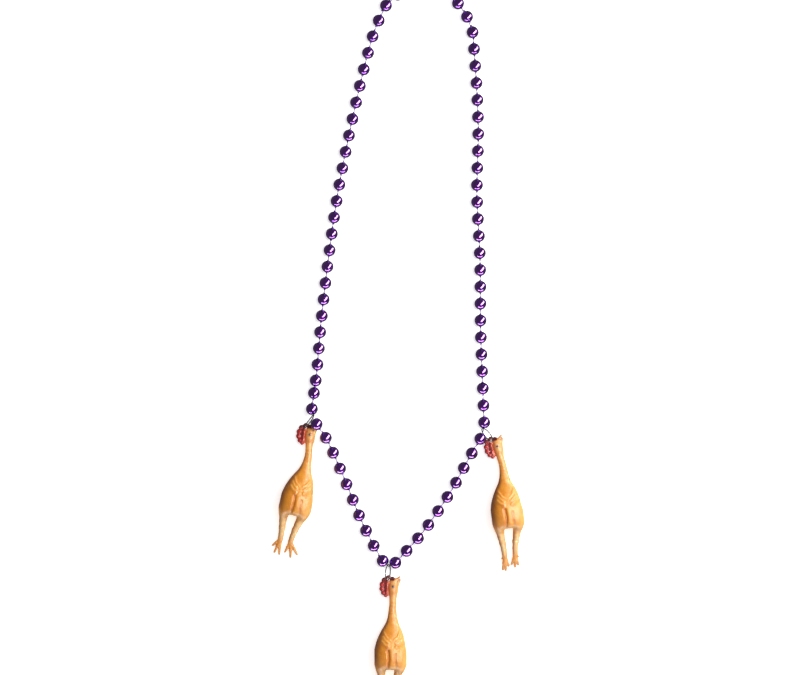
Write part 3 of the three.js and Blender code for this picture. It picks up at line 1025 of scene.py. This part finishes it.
def paint(points):
    """A colour for each point of the skin, in the charm's own frame, with painted light and shade
    among the paint.
    """
    x, y, z = points.T
    p = (x, y, z)
    cx, half, _, _ = body_rows(y)
    across = (x - cx) / half
    colour = np.tile(np.array(PAINT["body"]), (len(points), 1))
    colour = blend_paint(colour, PAINT["neck"], fade(y, -42, -24))
    colour = blend_paint(colour, PAINT["face"], fade(y, -20, -8) * 0.7)
    # Painted highlight: the breast side paler, as if lit from that side.
    lit_side = fade(across, 0.5, 1.05) * fade(y, -80, -66)
    colour = blend_paint(colour, PAINT["pale_lit_side"], lit_side * 0.6)
    # Down the back, darker orange then brown: partly brown airbrush, partly painted shade.
    orange_and_shade = fade(-across, -0.25, 0.3) * fade(-y, 12, 34) * fade(y, -76, -66)
    colour = blend_paint(colour, PAINT["orange_side_and_shade"], orange_and_shade * 0.5)
    brown_and_shade = fade(-across, 0.4, 0.98) * fade(-y, 12, 34) * fade(y, -78, -60)
    colour = blend_paint(colour, PAINT["brown_back_and_shade"], brown_and_shade * 0.92)
    # Painted shade: the thigh grooves darker.
    for line, _, width in THIGH_GROOVES:
        share = ridge(to_line(p, line), width * 0.9) * 0.55
        colour = blend_paint(colour, PAINT["groove_shade"], share)
    # Painted highlight: the tops of the feather ridges paler.
    for side in (-1, 1):
        for line in feather_lines(side):
            share = ridge(to_line(p, line), FEATHER_WIDTH) * fade(z, 9, 14) * 0.36
            colour = blend_paint(colour, PAINT["feather_highlight"], share)
    # A pale hem between the legs, and legs with painted shade: darker brown along their left
    # sides.
    hem = ridge(y + 72.4, 1.6) * fade(-np.abs(x - VENT[0]), -6.5, -4.5)
    colour = blend_paint(colour, PAINT["hem"], hem * 0.6)
    colour = blend_paint(colour, PAINT["leg"], fade(-y, 69, 82))
    for side in ("left", "right"):
        leg = np.array(LEGS[side]["bones"])[::-1]
        middle = np.interp(y, leg[:, 1], leg[:, 0])
        off = (middle - x) / np.interp(y, leg[:, 1], leg[:, 3])
        near = (x < SPLIT_LEGS) == (side == "left")
        brown_and_shade = fade(off, 0.05, 0.95) * fade(-off, -2.0, -1.3) * fade(-y, 72, 78)
        brown_and_shade = brown_and_shade * fade(y, -101, -93) * near
        colour = blend_paint(colour, PAINT["leg_shade"], brown_and_shade * 0.75)
    colour = blend_paint(colour, PAINT["foot"], fade(-y, 91, 97))
    colour = blend_paint(colour, PAINT["toe_tip"], fade(-y, 104.5, 107) * 0.6)
    # Beak, flushed face and red comb, with painted shade on the comb's top and along the mouth.
    beak = fade(y + 0.65 * x, 3.8, 5.6)
    colour = blend_paint(colour, PAINT["beak"], beak)
    flat = np.minimum.reduce([np.hypot(x - a, y - b) - r for a, b, r in COMB_LOBES])
    back = fade(-(x + 0.12 * y), -3.4, 0.6) * fade(y, -18, -13.5)
    colour = blend_paint(colour, PAINT["flush"], back)
    comb = fade(-(x + 0.10 * y), -0.3, 2.1) * fade(y, -16.5, -14.2)
    top = fade(y - 0.15 * x, -1.2, 0.4) * fade(-x, -5.6, -4.4)
    comb = np.maximum(comb, top)
    colour = blend_paint(colour, PAINT["comb"], comb)
    colour = blend_paint(colour, PAINT["comb_edge"], comb * fade(-flat, 1.6, 0.1) * 0.75)
    # Painted shade: the comb darker towards its top.
    colour = blend_paint(colour, PAINT["comb_top_shade"], comb * fade(y + 0.2 * x, -4.2, 0.2) * 0.85)
    # Painted shade: a dark line in the crease between the beak's halves.
    mouth_shade = ridge(to_line(p, [(6.6, -1.9), (9.8, 2.9)]), 0.35) * fade(y, -2.5, -1.0)
    colour = blend_paint(colour, PAINT["mouth_shade"], mouth_shade * 0.7)
    lid = ridge(np.hypot(x - EYE[0], y - EYE[1]) - LID_R, 0.4) * 0.6 * (y > -9)
    return blend_paint(colour, PAINT["lid"], lid)


def set_paint(mesh, colours):
    layer = mesh.color_attributes.new("paint", "FLOAT_COLOR", "POINT")
    layer.data.foreach_set("color", np.asarray(colours, np.float32).ravel())


# ---- charms ----


def charm_place(charm, points):
    """Points of a charm's own frame, set where it lies, with its head turned on its neck."""
    turn = math.radians(charm["head"])
    spin = np.array([[math.cos(turn), -math.sin(turn)], [math.sin(turn), math.cos(turn)]])
    shift = spin @ NECK_BEND[:2] - NECK_BEND[:2]
    below = fade(-points[:, 1], -NECK_BEND[1] - NECK_REACH, -NECK_BEND[1] + NECK_REACH)[:, None]
    flat = points[:, :2] @ spin.T * (1 - below) + (points[:, :2] + shift) * below
    tilt = math.radians(charm["tilt"])
    lay = np.array([[math.cos(tilt), -math.sin(tilt)], [math.sin(tilt), math.cos(tilt)]])
    placed = flat @ lay.T + np.array(charm["hole"]) + MIDDLE[:2]
    return np.column_stack([placed, points[:, 2]])


def cut(points, faces, planes):
    """The part of a mesh behind every plane (point, normal), with each cut closed flat."""
    bm = bmesh.new()
    verts = [bm.verts.new(p) for p in points]
    for face in faces:
        bm.faces.new([verts[i] for i in face])
    for point, normal in planes:
        everything = bm.verts[:] + bm.edges[:] + bm.faces[:]
        bmesh.ops.bisect_plane(
            bm, geom=everything, plane_co=point, plane_no=normal, clear_outer=True, dist=1e-5
        )
        edges = [e for e in bm.edges if e.is_boundary]
        caps = bmesh.ops.holes_fill(bm, edges=edges, sides=0)["faces"]
        for cap in caps:
            for edge in cap.edges:
                edge.smooth = False
    return bm


def keep_side(bm, wanted):
    """Drops every loose part whose middle isn't wanted."""
    left = set(bm.verts)
    while left:
        seed = left.pop()
        part, open_ends = {seed}, [seed]
        while open_ends:
            for edge in open_ends.pop().link_edges:
                for v in edge.verts:
                    if v not in part:
                        part.add(v)
                        open_ends.append(v)
        left -= part
        middle = sum((v.co for v in part), Vector()) / len(part)
        if not wanted(middle):
            bmesh.ops.delete(bm, geom=list(part), context="VERTS")


def skin_piece(name, bm, charm, material):
    """A painted piece of skin from a cut mesh, set where its charm lies."""
    mesh = bpy.data.meshes.new(name)
    bm.to_mesh(mesh)
    bm.free()
    mesh.shade_smooth()
    points = np.array([v.co for v in mesh.vertices], float).reshape(-1, 3)
    keep_place(mesh, points)
    set_paint(mesh, paint(points))
    placed = charm_place(charm, points) * MM
    mesh.vertices.foreach_set("co", placed.astype(np.float32).ravel())
    return link_piece(name, mesh, material)


def add_eyes(side, charm, material):
    """A domed eye each side of the head."""
    rows, around = 8, 24
    parts = []
    colours = []
    for face in (-1, 1):
        points = []
        for row in range(rows + 1):
            angle = math.pi * 0.5 * row / rows
            out = EYE_R * math.sin(angle) + LEAST
            rise = HEAD_Z + face * (EYE_DEPTH + EYE_DOME * math.cos(angle))
            for k in range(around):
                turn = 2 * math.pi * k / around
                points.append((EYE[0] + out * math.cos(turn), EYE[1] + out * math.sin(turn), rise))
            colours += [PAINT["pupil" if out < PUPIL_R else "iris"]] * around
        faces = []
        for row in range(rows):
            for k in range(around):
                after = (k + 1) % around
                low, high = row * around, (row + 1) * around
                quad = (low + k, high + k, high + after, low + after)
                faces.append(quad if face > 0 else quad[::-1])
        rim = tuple(rows * around + k for k in range(around))
        crown = tuple(range(around))
        faces.append(rim[::-1] if face > 0 else rim)
        faces.append(crown if face > 0 else crown[::-1])
        parts.append((np.array(points), faces))
    points, faces = join_parts(parts)
    eyes = add_piece(side + "_eyes", charm_place(charm, points), faces, material, "rubber_head")
    set_paint(eyes.data, colours)
    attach(eyes, side + "_head")


def add_charm(side, charm, shape, skin, eye):
    """One charm's skin, split at the neck and the hips, and its eyes."""
    points, faces = shape
    above_neck = ((0, SPLIT_NECK, 0), (0, -1, 0))
    below_neck = ((0, SPLIT_NECK, 0), (0, 1, 0))
    above_hips = ((0, SPLIT_HIPS, 0), (0, -1, 0))
    below_hips = ((0, SPLIT_HIPS, 0), (0, 1, 0))
    head = cut(points, faces, [above_neck])
    head = skin_piece(side + "_head_skin", head, charm, skin)
    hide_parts(side + "_head")
    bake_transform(head)
    torso = cut(points, faces, [below_neck, above_hips])
    torso = skin_piece(side + "_torso_skin", torso, charm, skin)
    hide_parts(side + "_torso")
    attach(torso, side + "_torso")
    for leg, wanted in (
        ("left", lambda middle: middle.x < SPLIT_LEGS),
        ("right", lambda middle: middle.x >= SPLIT_LEGS),
    ):
        bm = cut(points, faces, [below_hips])
        keep_side(bm, wanted)
        piece = skin_piece(f"{side}_{leg}_leg_skin", bm, charm, skin)
        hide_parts(f"{side}_{leg}_leg")
        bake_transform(piece)
    add_eyes(side, charm, eye)


# ---- the scene ----

add_camera()
add_lights()
add_floor(floor_material())
groups = frame["record"]["behaviour"]["bodies"]
BODY_OF = {node: body for body, nodes in groups.items() for node in nodes}
add_strand(BODY_OF, bead_material(), string_material())
wire = wire_material()
skin = skin_material()
eye = eye_material()
shapes = {spread: sculpt(spread) for spread in (False, True)}
for side, charm in CHARMS.items():
    add_ring(side, charm, wire)
    add_charm(side, charm, shapes[side == "left"], skin, eye)
